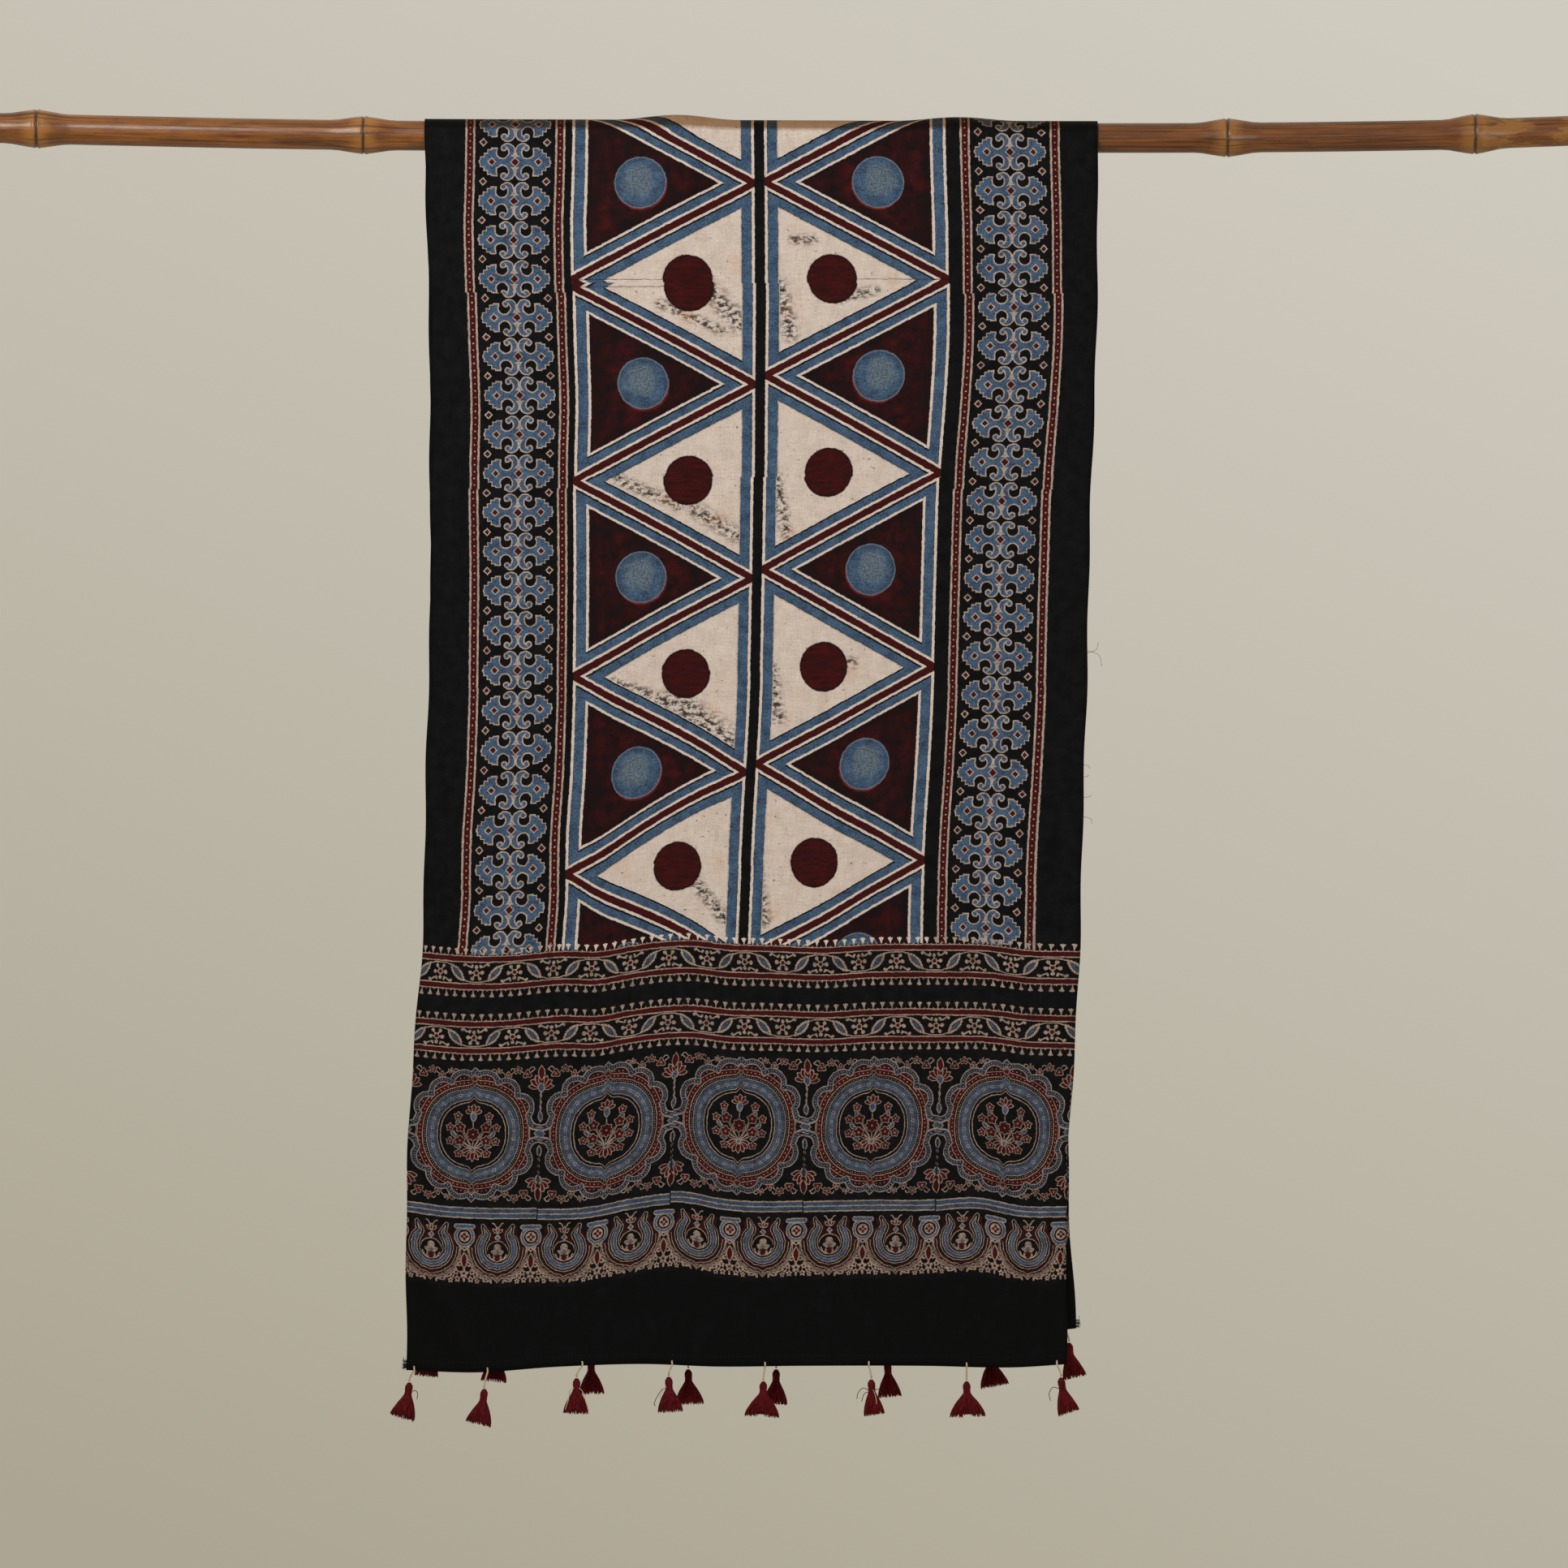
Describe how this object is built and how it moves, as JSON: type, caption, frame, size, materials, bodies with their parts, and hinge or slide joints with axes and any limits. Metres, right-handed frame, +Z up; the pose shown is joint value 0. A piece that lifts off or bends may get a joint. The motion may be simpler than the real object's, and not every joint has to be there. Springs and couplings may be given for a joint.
{
  "type": "ajrakh cloth on a bamboo pole",
  "caption": "Long block-printed cloth with tasselled hems, draped over a level bamboo pole so that its two ends hang in front of and behind it.",
  "frame": {"origin": "on the pole's axis, at the middle of the cloth's width where it goes over the pole", "axes": "+X along the pole to the right seen from the front, -Y towards the front panel's viewer, +Z up"},
  "size_m": [1.38, 0.0782, 1.0928],
  "materials": {
    "printed_cloth": "soft lustre",
    "bamboo": "scorched and polished",
    "tassel_yarn": "matt yarn",
    "tassel_thread": "matt yarn"
  },
  "bodies": {
    "root": {"cloth": "printed_cloth", "pole": "bamboo", "tassel_front_1": "tassel_yarn", "thread_front_1": "tassel_thread", "tassel_front_2": "tassel_yarn", "thread_front_2": "tassel_thread", "tassel_front_3": "tassel_yarn", "thread_front_3": "tassel_thread", "tassel_front_4": "tassel_yarn", "thread_front_4": "tassel_thread", "tassel_front_5": "tassel_yarn", "thread_front_5": "tassel_thread", "tassel_front_6": "tassel_yarn", "thread_front_6": "tassel_thread", "tassel_front_7": "tassel_yarn", "thread_front_7": "tassel_thread", "tassel_front_8": "tassel_yarn", "thread_front_8": "tassel_thread", "tassel_back_1": "tassel_yarn", "thread_back_1": "tassel_thread", "tassel_back_2": "tassel_yarn", "thread_back_2": "tassel_thread", "tassel_back_3": "tassel_yarn", "thread_back_3": "tassel_thread", "tassel_back_4": "tassel_yarn", "thread_back_4": "tassel_thread", "tassel_back_5": "tassel_yarn", "thread_back_5": "tassel_thread", "tassel_back_6": "tassel_yarn", "thread_back_6": "tassel_thread", "tassel_back_7": "tassel_yarn", "thread_back_7": "tassel_thread", "tassel_back_8": "tassel_yarn", "thread_back_8": "tassel_thread"}
  },
  "joints": []
}
